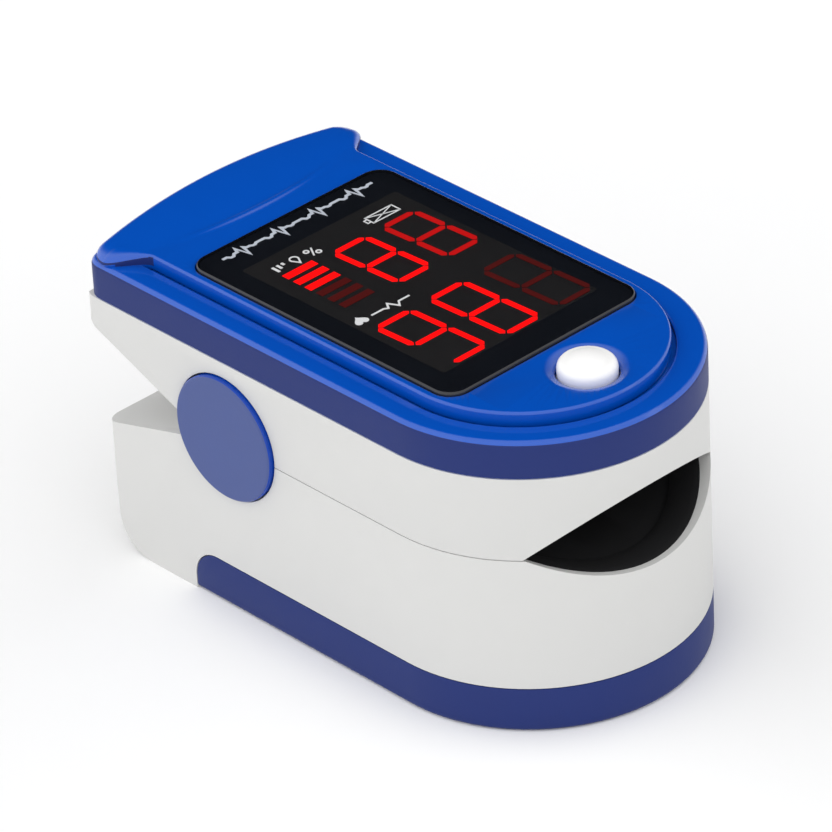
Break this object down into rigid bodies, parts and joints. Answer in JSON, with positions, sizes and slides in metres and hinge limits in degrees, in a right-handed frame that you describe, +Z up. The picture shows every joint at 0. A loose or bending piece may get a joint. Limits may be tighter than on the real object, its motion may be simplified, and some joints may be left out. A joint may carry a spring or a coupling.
{
  "type": "fingertip pulse oximeter",
  "caption": "Fingertip pulse oximeter: a sprung clip with a smoked display, push button, silicone finger channel and slide-off battery cover.",
  "frame": {"origin": "middle of the underside, on the table", "axes": "+Z up, +X towards the nose with the finger opening, +Y across to the left side when worn"},
  "size_m": [0.0572, 0.0328, 0.0318],
  "materials": {
    "blue_gloss": "smooth moulded ABS, satin to gloss",
    "blue_matte": "satin moulded ABS",
    "white_shell": "fine satin moulded ABS",
    "lens": "polished smoked acrylic",
    "display_body": "matte black moulding",
    "lit_segments": "diffusing red epoxy",
    "circuit_board": "green solder mask",
    "chip": "black epoxy",
    "crystal_can": "drawn can",
    "switch_body": "black moulding",
    "button_white": "smooth moulded ABS",
    "silicone": "matte black silicone",
    "clear_window": "clear acrylic",
    "led_body": "white ceramic",
    "gold_pins": "gold flash",
    "screw_steel": "zinc plated",
    "diode_body": "dark epoxy",
    "lead_red": "red insulation",
    "lead_blue": "blue insulation",
    "battery_wrap": "printed film sleeve",
    "contact_nickel": "nickel plated strip",
    "spring_steel": "drawn spring wire",
    "pin_steel": "ground steel"
  },
  "bodies": {
    "lower_half": {"lower_shell": "white_shell", "lower_finger_pad": "silicone", "sensor_window": "clear_window", "photodiode": "diode_body", "sensor_board": "circuit_board", "sensor_leads": "lead_red", "battery_left": "battery_wrap", "battery_right": "battery_wrap", "bridge_contact": "contact_nickel", "bridge_spring": "spring_steel", "positive_contact": "contact_nickel", "negative_contact": "contact_nickel", "negative_spring": "spring_steel", "battery_leads": "lead_blue", "hinge_pin": "pin_steel", "hinge_cap_left": "blue_matte", "hinge_cap_right": "blue_matte", "hinge_spring_left": "spring_steel", "hinge_spring_right": "spring_steel"},
    "upper_half": {"top_cover": "blue_gloss", "display_lens": "lens", "display_block": "display_body", "digit_segments": "lit_segments", "main_board": "circuit_board", "processor_chip": "chip", "amplifier_chip": "chip", "clock_crystal": "crystal_can", "key_switch": "switch_body", "upper_shell": "white_shell", "upper_finger_pad": "silicone", "emitter_window": "clear_window", "emitter_led": "led_body", "emitter_board": "circuit_board", "emitter_pins": "gold_pins", "upper_screws": "screw_steel"},
    "button": {"power_button": "button_white"},
    "cover": {"battery_cover": "blue_matte"}
  },
  "joints": [
    {"name": "clamp_hinge", "type": "hinge", "parent": "lower_half", "child": "upper_half", "pos_m": [-0.0097, 0, 0.01845], "axis": [0, -1, 0], "range_deg": [0, 20], "stiffness_Nm_per_rad": 0.08, "springref_deg": -34.38, "deforming": ["hinge_spring_left", "hinge_spring_right", "sensor_leads", "battery_leads"]},
    {"name": "button_press", "type": "slide", "parent": "upper_half", "child": "button", "axis": [0, 0, -1], "range_m": [0, 0.0005], "stiffness_N_per_m": 400, "springref_m": -0.0005},
    {"name": "battery_cover_slide", "type": "slide", "parent": "lower_half", "child": "cover", "axis": [1, 0, 0], "range_m": [0, 0.05]}
  ]
}
